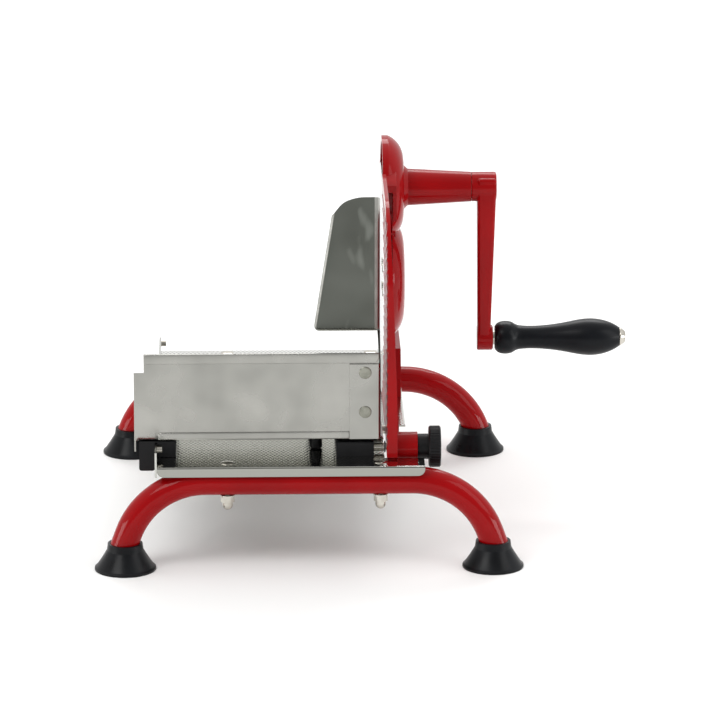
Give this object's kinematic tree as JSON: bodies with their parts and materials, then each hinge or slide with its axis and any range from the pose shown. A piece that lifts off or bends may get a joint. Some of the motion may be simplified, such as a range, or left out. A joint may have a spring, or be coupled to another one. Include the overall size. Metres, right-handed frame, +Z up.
{
  "type": "hand crank meat slicer",
  "caption": "Hand cranked slicer with a round blade, sliding food carriage, thickness gauge and finger guard, on bent tube legs with suction feet.",
  "frame": {"origin": "centre of the object's footprint box, on the surface it stands on", "axes": "+Z up, +X towards the crank handle, +Y the way the carriage pushes food past the blade"},
  "size_m": [0.437, 0.369, 0.3054],
  "materials": {
    "red_enamel": "glossy red enamel",
    "polished_stainless": "polished stainless sheet",
    "brushed_stainless": "brushed stainless sheet",
    "blade_steel": "ground and polished blade steel",
    "black_rubber": "smooth moulded rubber",
    "black_plastic": "moulded plastic",
    "grip_lacquer": "satin black grip",
    "bright_steel": "bright plated steel",
    "gear_steel": "machined steel",
    "bearing_bronze": "sintered bronze"
  },
  "bodies": {
    "frame": {"front_foot_tube": "red_enamel", "rear_foot_tube": "red_enamel", "suction_foot_front_left": "black_rubber", "suction_foot_front_right": "black_rubber", "suction_foot_rear_left": "black_rubber", "suction_foot_rear_right": "black_rubber", "saddle_1": "black_plastic", "saddle_2": "black_plastic", "saddle_3": "black_plastic", "saddle_4": "black_plastic", "base_bolts": "bright_steel", "base_washers": "bright_steel", "cap_nuts": "bright_steel", "base_plate": "polished_stainless", "carriage_rail": "polished_stainless", "rail_rivets": "bright_steel", "rail_stop_front": "bright_steel", "rail_stop_rear": "bright_steel", "gear_housing": "red_enamel", "gear_cover_plate": "brushed_stainless", "cover_screws": "bright_steel", "crank_bush_inner": "bearing_bronze", "crank_bush_outer": "bearing_bronze", "blade_axle": "gear_steel", "blade_axle_screw": "bright_steel", "housing_screws": "bright_steel", "guide_block_front": "black_plastic", "guide_block_rear": "black_plastic", "spindle_nut": "bearing_bronze", "guide_rod_bush": "bearing_bronze", "guide_block_screws": "bright_steel"},
    "gauge": {"gauge_plate": "red_enamel", "gauge_rear_rod": "bright_steel"},
    "knob": {"gauge_knob": "black_plastic", "gauge_spindle": "bright_steel", "spindle_ring": "gear_steel"},
    "blade": {"round_blade": "blade_steel", "blade_gear": "gear_steel", "blade_bush": "bearing_bronze", "blade_screws": "bright_steel"},
    "crank": {"crank_shaft": "bright_steel", "crank_gear": "gear_steel", "crank_gear_screw": "bright_steel", "crank_arm": "red_enamel", "crank_pin": "gear_steel", "handle_spindle": "bright_steel", "handle_cap": "bright_steel"},
    "grip": {"handle_grip": "grip_lacquer"},
    "carriage": {"carriage_sheet": "polished_stainless", "slide_shoe_front": "black_plastic", "slide_shoe_rear": "black_plastic", "shoe_screws": "bright_steel", "tray_glide_front": "black_plastic", "tray_glide_rear": "black_plastic", "finger_guard": "polished_stainless", "guard_rivets": "bright_steel"}
  },
  "joints": [
    {"name": "crank_turn", "type": "hinge", "parent": "frame", "child": "crank", "pos_m": [0.06298, 0.04, 0.2625], "axis": [1, 0, 0], "continuous": true},
    {"name": "grip_spin", "type": "hinge", "parent": "crank", "child": "grip", "pos_m": [0.15297, 0.04, 0.1335], "axis": [1, 0, 0], "continuous": true},
    {"name": "blade_spin", "type": "hinge", "parent": "frame", "child": "blade", "pos_m": [0.02148, 0.04, 0.186], "axis": [1, 0, 0], "continuous": true},
    {"name": "carriage_slide", "type": "slide", "parent": "frame", "child": "carriage", "axis": [0, 1, 0], "range_m": [0, 0.19]},
    {"name": "gauge_slide", "type": "slide", "parent": "frame", "child": "gauge", "axis": [1, 0, 0], "range_m": [0, 0.016]},
    {"name": "knob_turn", "type": "hinge", "parent": "gauge", "child": "knob", "pos_m": [0.04022, -0.134, 0.0924], "axis": [1, 0, 0], "range_deg": [0, 1440]}
  ],
  "couplings": [
    {"joint": "blade_spin", "follows": "crank_turn", "ratio": -0.78947},
    {"joint": "knob_turn", "follows": "gauge_slide", "rad_per_m": 1570.8}
  ]
}
